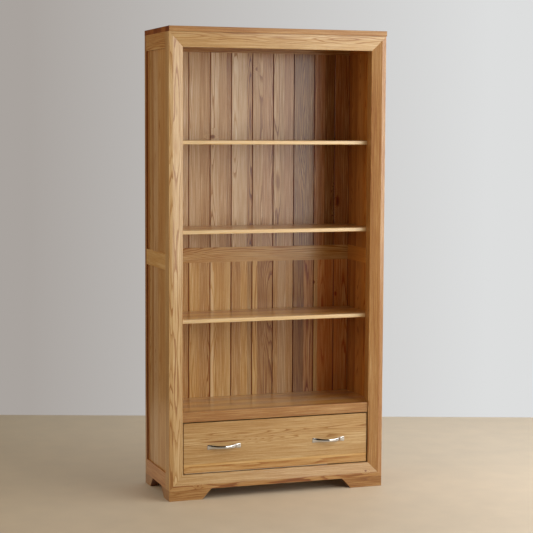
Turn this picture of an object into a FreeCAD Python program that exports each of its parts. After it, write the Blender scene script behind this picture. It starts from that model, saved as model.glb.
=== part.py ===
import FreeCAD, Part
import math
import os

# A tall bookcase in solid oak: a bevelled and mitred face frame, framed sides and back filled
# with tongue-and-groove boards, three shelves on pins, a fixed deck, and one dovetailed drawer.
# Millimetres. X to the right seen from the front, the front faces -Y, Z up.
# The origin is on the floor, in the middle of the width and of the whole depth.
# Pieces that come in pairs are drawn on the right, at +X, and mirrored to the left.

# Case
case_width = 880.0
case_height = 1800.0
case_depth = 350.0
top_thickness = 20.0
top_overhang = 6.0
arris = 1.5
overrun = 5.0

# Face frame: posts and rails of one width, with a shallow bevel down to the opening
member_width = 57.0
post_depth = 50.0
frame_rail_depth = 25.0
flat_strip = 16.0
bevel_drop = 8.0

# Side frames
side_thickness = 22.0
rear_stile_depth = 25.0
frame_rail_height = 60.0
middle_rail_bottom = 884.0
tenon_thickness = 8.0
tenon_shoulder = 10.0
side_tenon_length = 15.0
back_tenon_length = 6.0

# Back frame, measured from the front face of the rear stiles
back_rail_thickness = 22.0
back_rail_proud = 2.0
back_board_setback = 1.0

# Tongue-and-groove boards
side_board_thickness = 14.0
side_board_recess = 6.0
side_boards_across = 3
back_board_thickness = 12.0
back_board_width = 89.0
back_board_narrowest = 30.0
back_board_chamfer = 1.6
back_board_gap = 1.0
tongue_thickness = 5.0
tongue_length = 5.0
tongue_clearance = 0.1
board_housing = 8.0
board_expansion_room = 0.8

# Bracket feet, cut back at a slope towards the middle
foot_height = 40.0
foot_front_width = 133.0
foot_side_width = 75.0
foot_slope_run = 36.0
foot_wall = 28.0

# Deck over the drawer
deck_top = 338.0
deck_thickness = 18.0
deck_rail_height = 39.0
deck_rail_tenon_thickness = 14.0
deck_tongue_thickness = 6.0
deck_tongue_length = 8.0
deck_edge_gap = 0.5

# Shelves; each share places a shelf's top between the deck and the underside of the top rail
shelf_levels = ("lower", "middle", "upper")
shelf_top_shares = (0.254, 0.501, 0.748)
shelf_thickness = 15.0
shelf_rounding = 3.0
shelf_end_gap = 1.5
shelf_front_gap = 1.0
shelf_back_gap = 2.0
pin_radius = 2.5
pin_reach = 12.0
pin_hole_depth = 10.0
pin_clearance = 0.05
pin_inset = 32.0

# Drawer
drawer_gap = 4.0
drawer_setback = 14.0
drawer_front_thickness = 20.0
drawer_side_thickness = 12.0
drawer_back_thickness = 12.0
drawer_back_drop = 8.0
drawer_bottom_thickness = 6.0
drawer_bottom_rise = 10.0
drawer_groove_depth = 5.0
drawer_rear_room = 23.0
dovetail_lap = 6.0
dovetail_slope_share = 1.0 / 7.0
tail_height_share = 0.62
front_tails = 4
back_tails = 3

# Runners, kickers and stops
runner_clearance = 0.3
guide_clearance = 1.0
runner_ledge = 18.0
runner_height = 26.0
guide_height = 24.0
stop_clearance = 0.3

# Bow handles
handle_length = 136.0
handle_inset = 163.0
handle_reach = 25.0
handle_end_height = 20.0
handle_waist_height = 11.0
handle_tip_thickness = 3.0
handle_shoulder_thickness = 5.0
handle_strap_thickness = 5.0
handle_bow_start = 50.0
handle_bow_inner = 44.0
handle_throat_radius = 14.0
handle_edge_chamfer = 0.8
handle_screw_spacing = 96.0
handle_screw_depth = 4.0
handle_screw_radius = 2.0
handle_screw_head_radius = 4.0
handle_screw_head_height = 2.5
screw_clearance = 0.15

# Corner blocks glued under the top
block_leg = 48.0
block_height = 38.0

# Places that follow from the sizes above
handle_proud = handle_reach - drawer_setback
back_y = (case_depth + max(top_overhang, handle_proud)) / 2
front_y = back_y - case_depth
side_x = case_width / 2
opening_x = side_x - member_width
post_back_y = front_y + post_depth
lap_y = front_y + frame_rail_depth
side_inner_x = side_x - side_thickness
side_board_outer_x = side_x - side_board_recess
side_board_inner_x = side_board_outer_x - side_board_thickness
stile_front_y = back_y - rear_stile_depth
back_rail_front_y = stile_front_y - back_rail_proud
back_board_y = stile_front_y + back_board_setback
frame_top = case_height - top_thickness
top_rail_bottom = frame_top - frame_rail_height
middle_rail_top = middle_rail_bottom + frame_rail_height
bottom_rail_top = foot_height + frame_rail_height
opening_top = frame_top - member_width
opening_bottom = foot_height + member_width
deck_rail_bottom = deck_top - deck_rail_height
deck_bottom = deck_top - deck_thickness
side_board_width = (stile_front_y - post_back_y) / side_boards_across
side_board_middle_x = side_board_outer_x - side_board_thickness / 2
back_board_middle_y = back_board_y + back_board_thickness / 2
tenon_middle_x = side_x - side_thickness / 2
tenon_middle_y = back_rail_front_y + back_rail_thickness / 2
drawer_face_y = front_y + drawer_setback
drawer_shoulder_y = drawer_face_y + drawer_front_thickness
drawer_end_y = back_board_y - drawer_rear_room
drawer_half_width = opening_x - drawer_gap
drawer_inner_x = drawer_half_width - drawer_side_thickness
drawer_bottom_z = opening_bottom + drawer_gap
drawer_top_z = deck_rail_bottom - drawer_gap
drawer_panel_z = drawer_bottom_z + drawer_bottom_rise
drawer_back_bottom = drawer_panel_z + drawer_bottom_thickness
drawer_back_top = drawer_top_z - drawer_back_drop
drawer_back_y = drawer_end_y - drawer_back_thickness
runner_top = drawer_bottom_z - runner_clearance
guide_x = drawer_half_width + guide_clearance
runner_inner_x = guide_x - runner_ledge
handle_centre = drawer_half_width - handle_inset
handle_z = (drawer_bottom_z + drawer_top_z) / 2


def box(x0, x1, y0, y1, z0, z1):
    return Part.makeBox(x1 - x0, y1 - y0, z1 - z0, FreeCAD.Vector(x0, y0, z0))


def face_through(points, radii):
    """Flat face through the points, each corner rounded by its own radius where it has one."""
    edges = []
    first = None
    last = None
    for index, here in enumerate(points):
        to_before = (points[index - 1] - here).normalize()
        to_after = (points[(index + 1) % len(points)] - here).normalize()
        start = end = here
        if radii[index]:
            half_angle = to_before.getAngle(to_after) / 2
            start = here + to_before * (radii[index] / math.tan(half_angle))
            end = here + to_after * (radii[index] / math.tan(half_angle))
            inward = (to_before + to_after).normalize()
            centre = here + inward * (radii[index] / math.sin(half_angle))
            middle = centre - inward * radii[index]
        if last is None:
            first = start
        else:
            edges.append(Part.makeLine(last, start))
        if radii[index]:
            edges.append(Part.Arc(start, middle, end).toShape())
        last = end
    edges.append(Part.makeLine(last, first))
    return Part.Face(Part.Wire(edges))


def prism(points, radii, run):
    radii = radii or [0] * len(points)
    return face_through(points, radii).extrude(run)


def along_x(x0, x1, corners, radii=None):
    points = [FreeCAD.Vector(x0, y, z) for y, z in corners]
    return prism(points, radii, FreeCAD.Vector(x1 - x0, 0, 0))


def along_y(y0, y1, corners, radii=None):
    points = [FreeCAD.Vector(x, y0, z) for x, z in corners]
    return prism(points, radii, FreeCAD.Vector(0, y1 - y0, 0))


def along_z(z0, z1, corners, radii=None):
    points = [FreeCAD.Vector(x, y, z0) for x, y in corners]
    return prism(points, radii, FreeCAD.Vector(0, 0, z1 - z0))


def mirrored(shape):
    return shape.mirror(FreeCAD.Vector(0, 0, 0), FreeCAD.Vector(1, 0, 0))


def both_sides(shapes):
    return list(shapes) + [mirrored(shape) for shape in shapes]


def turned(corners):
    """Solid of revolution about Z from (radius, height) corners."""
    points = [FreeCAD.Vector(radius, 0, height) for radius, height in corners]
    face = face_through(points, [0] * len(points))
    return face.revolve(FreeCAD.Vector(0, 0, 0), FreeCAD.Vector(0, 0, 1), 360)


def placed(shape, position, direction):
    """Copy of a shape drawn along +Z from the origin, set at a position and turned to a direction."""
    copy = shape.copy()
    turn = FreeCAD.Rotation(FreeCAD.Vector(0, 0, 1), direction)
    copy.Placement = FreeCAD.Placement(position, turn)
    return copy


def save(node, shape):
    if isinstance(shape, list):
        shape = Part.makeCompound(shape)
    if not shape.isValid() or not shape.Solids:
        raise RuntimeError(node + " is not a valid solid")
    shape.exportStep("parts/" + node + ".step")


def save_pair(node, shape):
    save(node + "_right", shape)
    save(node + "_left", mirrored(shape))


# Corner blocks under the top, in the corners of the side rails with the posts and the back rail

def top_blocks():
    blocks = []
    for corner_y, way in ((post_back_y, 1), (back_rail_front_y, -1)):
        triangle = [
            (side_inner_x, corner_y),
            (side_inner_x - block_leg, corner_y),
            (side_inner_x, corner_y + way * block_leg),
        ]
        blocks.append(along_z(frame_top - block_height, frame_top, triangle))
    return both_sides(blocks)


def top_board():
    front = front_y - top_overhang
    corners = [(front, frame_top), (back_y, frame_top), (back_y, case_height), (front, case_height)]
    return along_x(-side_x, side_x, corners, [arris, 0, arris, arris])


# Face frame. Its four corners are mitred in front and lapped behind: the rail's end covers the
# front layer of the post, and the post runs on behind it.

def mitre_triangle(outer_z, inner_z, taken_from_post):
    """Half of the corner square, on one side of the mitre line."""
    spare = (opening_x, outer_z) if taken_from_post else (side_x, inner_z)
    return [(side_x, outer_z), (opening_x, inner_z), spare]


def side_rail_spans():
    return {
        "top": (top_rail_bottom, frame_top),
        "middle": (middle_rail_bottom, middle_rail_top),
        "bottom": (foot_height, bottom_rail_top),
    }


def board_spans():
    """Shoulder heights of the boards between the rails."""
    return {
        "upper": (middle_rail_top, top_rail_bottom),
        "lower": (bottom_rail_top, middle_rail_bottom),
    }


def side_tenons():
    """Tenons of the side rails, at both of their ends."""
    half = tenon_thickness / 2
    start = post_back_y - side_tenon_length
    end = stile_front_y + side_tenon_length
    return [
        box(
            tenon_middle_x - half, tenon_middle_x + half, start, end,
            z0 + tenon_shoulder, z1 - tenon_shoulder,
        )
        for z0, z1 in side_rail_spans().values()
    ]


def side_board_grooves():
    """Room for the boards' tongues in the post, the stile and the rails of a side."""
    half = tongue_thickness / 2 + tongue_clearance
    reach = tongue_length + tongue_clearance
    rise = board_housing + board_expansion_room
    x0 = side_board_middle_x - half
    x1 = side_board_middle_x + half
    y0 = post_back_y - reach
    y1 = stile_front_y + reach
    return [box(x0, x1, y0, y1, z0 - rise, z1 + rise) for z0, z1 in board_spans().values()]


def deck_rail_tenon():
    half_height = deck_rail_height / 2 - tenon_shoulder
    middle_z = deck_rail_bottom + deck_rail_height / 2
    middle_y = (drawer_face_y + post_back_y) / 2
    half = deck_rail_tenon_thickness / 2
    reach = opening_x + side_tenon_length
    return box(
        -reach, reach, middle_y - half, middle_y + half, middle_z - half_height, middle_z + half_height,
    )


def front_post():
    corners = [
        (side_x, front_y),
        (side_x - flat_strip, front_y),
        (opening_x, front_y + bevel_drop),
        (opening_x, post_back_y),
        (side_x, post_back_y),
    ]
    post = along_z(foot_height, frame_top, corners, [arris, 0, arris, arris, 0])
    over_y = front_y - overrun
    top_wedge = along_y(over_y, lap_y, mitre_triangle(frame_top, opening_top, True))
    bottom_wedge = along_y(over_y, lap_y, mitre_triangle(foot_height, opening_bottom, True))
    joints = side_tenons() + side_board_grooves() + [deck_rail_tenon()]
    return post.cut([top_wedge, bottom_wedge] + joints)


def front_rail(outer_z, inner_z):
    towards = (inner_z - outer_z) / abs(inner_z - outer_z)
    corners = [
        (front_y, outer_z),
        (front_y, outer_z + towards * flat_strip),
        (front_y + bevel_drop, inner_z),
        (lap_y, inner_z),
        (lap_y, outer_z),
    ]
    rail = along_x(-side_x, side_x, corners, [0, 0, arris, 0, 0])
    wedge = along_y(front_y - overrun, back_y, mitre_triangle(outer_z, inner_z, False))
    return rail.cut(both_sides([wedge]))


# Sides

def rear_stile():
    corners = [
        (side_inner_x, stile_front_y),
        (side_x, stile_front_y),
        (side_x, back_y),
        (side_inner_x, back_y),
    ]
    stile = along_z(foot_height, frame_top, corners, [0, 0, arris, 0])
    return stile.cut(side_tenons() + side_board_grooves() + back_tenons() + back_board_grooves())


def side_rail(span):
    z0, z1 = side_rail_spans()[span]
    rail = box(side_inner_x, side_x, post_back_y, stile_front_y, z0, z1)
    rail = rail.cut(side_board_grooves())
    reach = box(-side_x, side_x, front_y, back_y, z0, z1)
    tenon = [block.common(reach) for block in side_tenons()]
    return rail.fuse([block for block in tenon if block.Solids]).removeSplitter()


def board_outline(width, thickness, first, last, chamfer, gap):
    """Section of one board: U across its width, V from its show face to its hidden face.

    Its end edge has a tongue. Its start edge has a groove for the board before it, or on the
    first board a tongue for the frame. Chamfers and gap open the joints on the show face.
    """
    middle = thickness / 2
    half = tongue_thickness / 2
    slot = half if first else half + tongue_clearance
    inward = -tongue_length if first else tongue_length + tongue_clearance
    start = 0 if first else gap
    start_chamfer = 0 if first else chamfer
    end_chamfer = 0 if last else chamfer
    points = [
        (start + start_chamfer, 0),
        (width - end_chamfer, 0),
        (width, end_chamfer),
        (width, middle - half),
        (width + tongue_length, middle - half),
        (width + tongue_length, middle + half),
        (width, middle + half),
        (width, thickness),
        (start, thickness),
        (start, middle + slot),
        (inward, middle + slot),
        (inward, middle - slot),
        (start, middle - slot),
        (start, start_chamfer),
    ]
    return [point for index, point in enumerate(points) if point != points[index - 1]]


def board(span, width, thickness, outline):
    """One upright board, its ends tongued into the rails above and below it."""
    z0, z1 = board_spans()[span]
    solid = along_z(z0 - board_housing, z1 + board_housing, outline)
    half = tongue_thickness / 2
    u0 = -tongue_length - overrun
    u1 = width + tongue_length + overrun
    layers = [(-overrun, thickness / 2 - half), (thickness / 2 + half, thickness + overrun)]
    ends = [(z0 - board_housing - overrun, z0), (z1, z1 + board_housing + overrun)]
    return solid.cut([box(u0, u1, v0, v1, low, high) for v0, v1 in layers for low, high in ends])


def side_board(span, number):
    """Boards of the sides lie flush, so that each panel looks like one plain board."""
    first = number == 0
    last = number == side_boards_across - 1
    outline = board_outline(side_board_width, side_board_thickness, first, last, 0, 0)
    solid = board(span, side_board_width, side_board_thickness, outline)
    solid.rotate(FreeCAD.Vector(0, 0, 0), FreeCAD.Vector(0, 0, 1), 90)
    start_y = post_back_y + number * side_board_width
    solid.translate(FreeCAD.Vector(side_board_outer_x, start_y, 0))
    return solid.cut(shelf_pin_holes())


# Back

def back_tenons():
    half = tenon_thickness / 2
    reach = side_inner_x + back_tenon_length
    return [
        box(
            -reach, reach, tenon_middle_y - half, tenon_middle_y + half,
            z0 + tenon_shoulder, z1 - tenon_shoulder,
        )
        for z0, z1 in side_rail_spans().values()
    ]


def back_board_grooves():
    half = tongue_thickness / 2 + tongue_clearance
    reach = side_inner_x + tongue_length + tongue_clearance
    rise = board_housing + board_expansion_room
    y0 = back_board_middle_y - half
    y1 = back_board_middle_y + half
    return [box(-reach, reach, y0, y1, z0 - rise, z1 + rise) for z0, z1 in board_spans().values()]


def back_rail(span):
    z0, z1 = side_rail_spans()[span]
    back = back_rail_front_y + back_rail_thickness
    rail = box(-side_inner_x, side_inner_x, back_rail_front_y, back, z0, z1)
    rail = rail.cut(back_board_grooves())
    reach = box(-side_x, side_x, front_y, back_y, z0, z1)
    tenon = [block.common(reach) for block in back_tenons()]
    return rail.fuse([block for block in tenon if block.Solids]).removeSplitter()


def back_board_edges():
    """X of the edges of all boards: whole ones from the middle out, a narrower one at each end."""
    whole = math.floor((side_inner_x - back_board_narrowest) / back_board_width)
    joints = [number * back_board_width for number in range(-whole, whole + 1)]
    return [-side_inner_x] + joints + [side_inner_x]


def back_boards(span):
    edges = back_board_edges()
    boards = []
    for number in range(len(edges) - 1):
        width = edges[number + 1] - edges[number]
        first = number == 0
        last = number == len(edges) - 2
        outline = board_outline(
            width, back_board_thickness, first, last, back_board_chamfer, back_board_gap,
        )
        solid = board(span, width, back_board_thickness, outline)
        solid.translate(FreeCAD.Vector(edges[number], back_board_y, 0))
        boards.append(solid)
    return boards


# Feet

def foot_leg(width):
    """Corners of one leg of a bracket foot, along the edge it runs beside and up."""
    return [(0, 0), (width, 0), (width + foot_slope_run, foot_height), (0, foot_height)]


def eased(foot, corner_y):
    """Foot with the arris of the case's corner carried down it."""
    corner = FreeCAD.Vector(side_x, corner_y, foot_height / 2)
    upright = [edge for edge in foot.Edges if edge.distToShape(Part.Vertex(corner))[0] < arris / 2]
    return foot.makeFillet(arris, upright)


def front_foot():
    front = [(side_x - u, z) for u, z in foot_leg(foot_front_width)]
    side = [(front_y + u, z) for u, z in foot_leg(foot_side_width)]
    foot = along_y(front_y, front_y + foot_wall, front)
    foot = foot.fuse(along_x(side_x - foot_wall, side_x, side)).removeSplitter()
    return eased(foot, front_y)


def rear_foot():
    back = [(side_x - u, z) for u, z in foot_leg(foot_side_width)]
    side = [(back_y - u, z) for u, z in foot_leg(foot_side_width)]
    foot = along_y(back_y - foot_wall, back_y, back)
    foot = foot.fuse(along_x(side_x - foot_wall, side_x, side)).removeSplitter()
    return eased(foot, back_y)


# Deck, the fixed shelf over the drawer

def deck_rail():
    corners = [
        (drawer_face_y, deck_rail_bottom),
        (post_back_y, deck_rail_bottom),
        (post_back_y, deck_top),
        (drawer_face_y, deck_top),
    ]
    rail = along_x(-opening_x, opening_x, corners, [arris, 0, 0, arris])
    return rail.cut(deck_board()).fuse(deck_rail_tenon())


def deck_board():
    half_width = side_board_inner_x - deck_edge_gap
    back = stile_front_y - deck_edge_gap
    body = box(-half_width, half_width, post_back_y, back, deck_bottom, deck_top)
    middle = deck_top - deck_thickness / 2
    half = deck_tongue_thickness / 2
    front = post_back_y - deck_tongue_length
    tongue = box(-opening_x, opening_x, front, post_back_y, middle - half, middle + half)
    return body.fuse(tongue).removeSplitter()


def deck_cleat():
    """Bar under each end of the deck. It also keeps the open drawer from tipping."""
    return box(
        runner_inner_x, side_board_inner_x, post_back_y, stile_front_y, deck_rail_bottom, deck_bottom,
    )


# Shelves and their pins

def shelf_top(level):
    share = shelf_top_shares[shelf_levels.index(level)]
    return deck_top + share * (opening_top - deck_top)


def shelf(level):
    top = shelf_top(level)
    bottom = top - shelf_thickness
    front = post_back_y + shelf_front_gap
    back = back_rail_front_y - shelf_back_gap
    half_width = side_inner_x - shelf_end_gap
    corners = [(front, bottom), (back, bottom), (back, top), (front, top)]
    return along_x(-half_width, half_width, corners, [shelf_rounding, 0, 0, shelf_rounding])


def shelf_pin_places():
    places = []
    for level in shelf_levels:
        z = shelf_top(level) - shelf_thickness - pin_radius
        for y in (post_back_y + pin_inset, back_rail_front_y - pin_inset):
            places.append(FreeCAD.Vector(side_board_inner_x, y, z))
    return places


def shelf_pins():
    inward = FreeCAD.Vector(-1, 0, 0)
    pin = Part.makeCylinder(pin_radius, pin_hole_depth + pin_reach, FreeCAD.Vector(0, 0, -pin_hole_depth))
    return both_sides([placed(pin, place, inward) for place in shelf_pin_places()])


def shelf_pin_holes():
    outward = FreeCAD.Vector(1, 0, 0)
    radius = pin_radius + pin_clearance
    hole = Part.makeCylinder(
        radius, overrun + pin_hole_depth + pin_clearance, FreeCAD.Vector(0, 0, -overrun),
    )
    return [placed(hole, place, outward) for place in shelf_pin_places()]


# Runners and stops

def drawer_runner():
    """Ledge under the drawer's side, with the guide that keeps it straight."""
    bottom = runner_top - runner_height
    corners = [
        (runner_inner_x, bottom),
        (side_inner_x, bottom),
        (side_inner_x, runner_top + guide_height),
        (guide_x, runner_top + guide_height),
        (guide_x, runner_top),
        (runner_inner_x, runner_top),
    ]
    return along_y(post_back_y, back_rail_front_y, corners)


def drawer_stop():
    start = drawer_end_y + stop_clearance
    return box(runner_inner_x, guide_x, start, back_rail_front_y, runner_top, runner_top + guide_height)


# Drawer. Lapped dovetails join its sides to the front, through dovetails join them to the back.

def tails(count, shoulder_y, end_y, z0, z1):
    """Dovetails on the end of a drawer side, wider at their end than at the shoulder."""
    pitch = (z1 - z0) / count
    wide = pitch * tail_height_share / 2
    narrow = wide - abs(end_y - shoulder_y) * dovetail_slope_share
    shapes = []
    for number in range(count):
        middle = z0 + (number + 1 / 2) * pitch
        corners = [
            (shoulder_y, middle - narrow),
            (end_y, middle - wide),
            (end_y, middle + wide),
            (shoulder_y, middle + narrow),
        ]
        shapes.append(along_x(drawer_inner_x, drawer_half_width, corners))
    return shapes


def front_tail_set():
    end_y = drawer_face_y + dovetail_lap
    return tails(front_tails, drawer_shoulder_y, end_y, drawer_bottom_z, drawer_top_z)


def back_tail_set():
    return tails(back_tails, drawer_back_y, drawer_end_y, drawer_back_bottom, drawer_back_top)


def handle_screw_places():
    offsets = (-handle_screw_spacing / 2, handle_screw_spacing / 2)
    return [FreeCAD.Vector(handle_centre + offset, drawer_shoulder_y, handle_z) for offset in offsets]


def handle_screw():
    length = handle_screw_head_height + drawer_front_thickness + handle_screw_depth
    return turned([
        (0, -handle_screw_head_height),
        (handle_screw_head_radius, -handle_screw_head_height),
        (handle_screw_head_radius, 0),
        (handle_screw_radius, 0),
        (handle_screw_radius, length - handle_screw_head_height),
        (0, length - handle_screw_head_height),
    ])


def handle_screws():
    forward = FreeCAD.Vector(0, -1, 0)
    return both_sides([placed(handle_screw(), place, forward) for place in handle_screw_places()])


def handle_screw_holes():
    forward = FreeCAD.Vector(0, -1, 0)
    radius = handle_screw_radius + screw_clearance
    depth = drawer_front_thickness + handle_screw_depth + screw_clearance
    hole = Part.makeCylinder(radius, depth)
    return [placed(hole, place, forward) for place in handle_screw_places()]


def drawer_bottom():
    half_width = drawer_inner_x + drawer_groove_depth
    top = drawer_panel_z + drawer_bottom_thickness
    body = box(-half_width, half_width, drawer_shoulder_y, drawer_end_y, drawer_panel_z, top)
    front = drawer_shoulder_y - drawer_groove_depth
    lip = box(-drawer_inner_x, drawer_inner_x, front, drawer_shoulder_y, drawer_panel_z, top)
    return body.fuse(lip).removeSplitter()


def drawer_front():
    corners = [
        (-drawer_half_width, drawer_face_y),
        (drawer_half_width, drawer_face_y),
        (drawer_half_width, drawer_shoulder_y),
        (-drawer_half_width, drawer_shoulder_y),
    ]
    front = along_z(drawer_bottom_z, drawer_top_z, corners, [arris, arris, 0, 0])
    front = front.cut(both_sides(front_tail_set() + handle_screw_holes()))
    return front.cut(drawer_bottom())


def drawer_side():
    side = box(
        drawer_inner_x, drawer_half_width, drawer_shoulder_y, drawer_end_y, drawer_bottom_z, drawer_top_z,
    )
    side = side.fuse(front_tail_set())
    seat = box(
        drawer_inner_x, drawer_half_width, drawer_back_y, drawer_end_y, drawer_back_bottom, drawer_back_top,
    )
    pins = seat.cut(back_tail_set())
    return side.cut([pins, drawer_bottom()]).removeSplitter()


def drawer_back():
    back = box(
        -drawer_half_width, drawer_half_width, drawer_back_y, drawer_end_y,
        drawer_back_bottom, drawer_back_top
    )
    return back.cut(both_sides(back_tail_set()))


# Handle: a strap that bows out between two flat ends and is waisted seen from the front

def bow_profile():
    """Plan of the strap, from the drawer's face outwards."""
    def at(along, out):
        return FreeCAD.Vector(handle_centre + along, drawer_face_y - out, handle_z - handle_end_height / 2)

    end = handle_length / 2
    outer = Part.Arc(
        at(-handle_bow_start, handle_shoulder_thickness),
        at(0, handle_reach),
        at(handle_bow_start, handle_shoulder_thickness),
    )
    inner = Part.Arc(
        at(handle_bow_inner, 0),
        at(0, handle_reach - handle_strap_thickness),
        at(-handle_bow_inner, 0),
    )
    edges = [
        Part.makeLine(at(-end, 0), at(-end, handle_tip_thickness)),
        Part.makeLine(at(-end, handle_tip_thickness), at(-handle_bow_start, handle_shoulder_thickness)),
        outer.toShape(),
        Part.makeLine(at(handle_bow_start, handle_shoulder_thickness), at(end, handle_tip_thickness)),
        Part.makeLine(at(end, handle_tip_thickness), at(end, 0)),
        Part.makeLine(at(end, 0), at(handle_bow_inner, 0)),
        inner.toShape(),
        Part.makeLine(at(-handle_bow_inner, 0), at(-end, 0)),
    ]
    return Part.Face(Part.Wire(edges))


def waist_outline():
    """Front view of the strap: full height at its ends, narrower in the middle."""
    def at(along, up):
        return FreeCAD.Vector(handle_centre + along, drawer_face_y + overrun, handle_z + up)

    end = handle_length / 2
    tall = handle_end_height / 2
    slim = handle_waist_height / 2
    edges = [
        Part.Arc(at(-end, tall), at(0, slim), at(end, tall)).toShape(),
        Part.makeLine(at(end, tall), at(end, -tall)),
        Part.Arc(at(end, -tall), at(0, -slim), at(-end, -tall)).toShape(),
        Part.makeLine(at(-end, -tall), at(-end, tall)),
    ]
    return Part.Face(Part.Wire(edges))


def throat_edges(strap):
    """Upright edges where the flat ends turn into the bow."""
    out_y = drawer_face_y - handle_shoulder_thickness
    found = []
    for edge in strap.Edges:
        centre = edge.CenterOfMass
        upright = abs(edge.BoundBox.ZLength - handle_end_height) < handle_edge_chamfer
        on_shoulder = abs(centre.y - out_y) < handle_edge_chamfer
        beside_bow = abs(abs(centre.x - handle_centre) - handle_bow_start) < handle_edge_chamfer
        if upright and on_shoulder and beside_bow:
            found.append(edge)
    return found


def handle():
    strap = bow_profile().extrude(FreeCAD.Vector(0, 0, handle_end_height))
    strap = strap.makeFillet(handle_throat_radius, throat_edges(strap))
    sweep = -handle_reach - overrun - overrun
    strap = strap.common(waist_outline().extrude(FreeCAD.Vector(0, sweep, 0)))
    face_y = drawer_face_y - handle_edge_chamfer / 2
    free = [edge for edge in strap.Edges if edge.BoundBox.YMin < face_y]
    strap = strap.makeChamfer(handle_edge_chamfer, free)
    return strap.cut(handle_screw_holes())


def main():
    os.makedirs("parts", exist_ok=True)
    save("top_board", top_board())
    save("top_blocks", top_blocks())
    save_pair("front_post", front_post())
    save("front_top_rail", front_rail(frame_top, opening_top))
    save("front_bottom_rail", front_rail(foot_height, opening_bottom))
    save_pair("rear_stile", rear_stile())
    for span in side_rail_spans():
        save_pair("side_" + span + "_rail", side_rail(span))
        save("back_" + span + "_rail", back_rail(span))
    for span in board_spans():
        save("back_boards_" + span, back_boards(span))
        for number in range(side_boards_across):
            save_pair("side_board_" + span + "_" + str(number + 1), side_board(span, number))
    save_pair("front_foot", front_foot())
    save_pair("rear_foot", rear_foot())
    save("deck_rail", deck_rail())
    save("deck_board", deck_board())
    save_pair("deck_cleat", deck_cleat())
    for level in shelf_levels:
        save("shelf_" + level, shelf(level))
    save("shelf_pins", shelf_pins())
    save_pair("drawer_runner", drawer_runner())
    save("drawer_stops", both_sides([drawer_stop()]))
    save("drawer_front", drawer_front())
    save_pair("drawer_side", drawer_side())
    save("drawer_back", drawer_back())
    save("drawer_bottom", drawer_bottom())
    save_pair("handle", handle())
    save("handle_screws", handle_screws())


main()
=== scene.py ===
"""Tall oak bookcase with one drawer: the finish of its pieces, its metalwork and the studio round it.

Laid out as an add-on: sizes and colours are scene properties, each group of pieces has an
operator, and a panel in the 3D view's sidebar lists them. X is right, the front faces -Y,
Z is up, and lengths are metres unless a name ends in mm.
"""

import math
import random

import bmesh
import bpy
from mathutils import Matrix, Vector


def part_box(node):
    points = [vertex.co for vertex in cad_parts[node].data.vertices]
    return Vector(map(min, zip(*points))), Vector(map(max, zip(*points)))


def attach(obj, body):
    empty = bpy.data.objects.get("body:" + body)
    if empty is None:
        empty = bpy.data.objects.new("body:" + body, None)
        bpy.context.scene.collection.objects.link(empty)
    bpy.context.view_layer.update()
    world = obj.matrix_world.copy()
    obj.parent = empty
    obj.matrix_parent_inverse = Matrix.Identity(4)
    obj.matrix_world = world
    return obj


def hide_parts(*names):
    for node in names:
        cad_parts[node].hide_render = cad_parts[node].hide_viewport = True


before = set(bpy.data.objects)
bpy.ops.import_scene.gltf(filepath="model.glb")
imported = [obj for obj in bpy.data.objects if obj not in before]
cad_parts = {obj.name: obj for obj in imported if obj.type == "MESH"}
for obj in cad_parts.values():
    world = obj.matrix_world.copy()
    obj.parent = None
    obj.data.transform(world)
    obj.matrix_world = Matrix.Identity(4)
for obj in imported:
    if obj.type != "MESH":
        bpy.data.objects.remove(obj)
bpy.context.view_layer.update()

bl_info = {
    "name": "Oak Bookcase Finish",
    "version": (1, 0, 0),
    "blender": (4, 5, 0),
    "location": "3D View > Sidebar > Bookcase",
    "description": "Lacquered oak, bow handles, shelf pins, screws and a plain studio for a bookcase",
    "category": "Object",
}

X, Y, Z = 0, 1, 2

# A row of staves is divided into cells, the steps of its ramps.
CELLS = 255
# Inputs of a Mix node's two colours, and its output of the mixed one.
COLOUR_A, COLOUR_B, MIXED = 6, 7, 2

# Front of the face frame, and where its flat strips end, from the middle of the width.
FRONT_MM = -169.5
STRIP_MM = 424
# Show faces of the back's rails and boards, and where the boards' hidden outside begins.
BACK_RAILS_MM, BACK_BOARDS_MM, BACK_OUTSIDE_MM = 153.5, 156.5, 163
# Outer faces of the sides' rails and boards, and the plane within which their inner faces lie.
SIDE_RAILS_MM, SIDE_BOARDS_MM, SIDE_INSIDE_MM = 440, 434, 427
# Cells of pieces that are spread over the whole height.
HEIGHT_CELL_MM = 7.06

# Heart lines of the logs lie up to this far beside their stave's middle, and between these depths
# behind its face. One sway of theirs is about this long along the grain, and changes this fast inwards.
HEART_ASIDE_MM, HEART_NEAR_MM, HEART_FAR_MM = 60, 30, 140
SWAY_LONG_MM, SWAY_DEEP_MM = 620, 260
# How far apart staves lie in the noise of the sway, in sways, and in the textures, in mm.
SWAY_SHIFT, GRAIN_SHIFT_MM = 37, 5000
# Textures of the grain: mm across, mm along and detail. Ripples are those of the rings. Pores are
# 0.3 mm wide and are drawn three times as wide so that a few of them show.
GRAIN = {"ripple": (16, 330, 2), "streak": (2.6, 130, 3), "cloud": (45, 520, 1), "pore": (0.9, 15, 1)}
RIPPLE_MM = 3

# Rows of shelf pins and of countersunk screws, from the middle of the depth.
PIN_ROWS = (-0.0875, 0.1215)
SCREW_ROWS = (-0.085, 0.017, 0.119)
PIN_RADIUS = 0.0025
# Screws of a handle, from its middle.
HANDLE_SCREWS = (-0.048, 0.048)
# Pins and screws end their last turn at any angle.
last_turns = random.Random(5)

# The camera's place and lens, and how far it turns right, looks down and leans.
CAMERA_PLACE = Vector((-2.01724, -5.78052, 1.42342))
LENS_MM = 104.83
YAW, PITCH, ROLL = [math.radians(degrees) for degrees in (19.311, 5.108, 0.277)]
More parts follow.
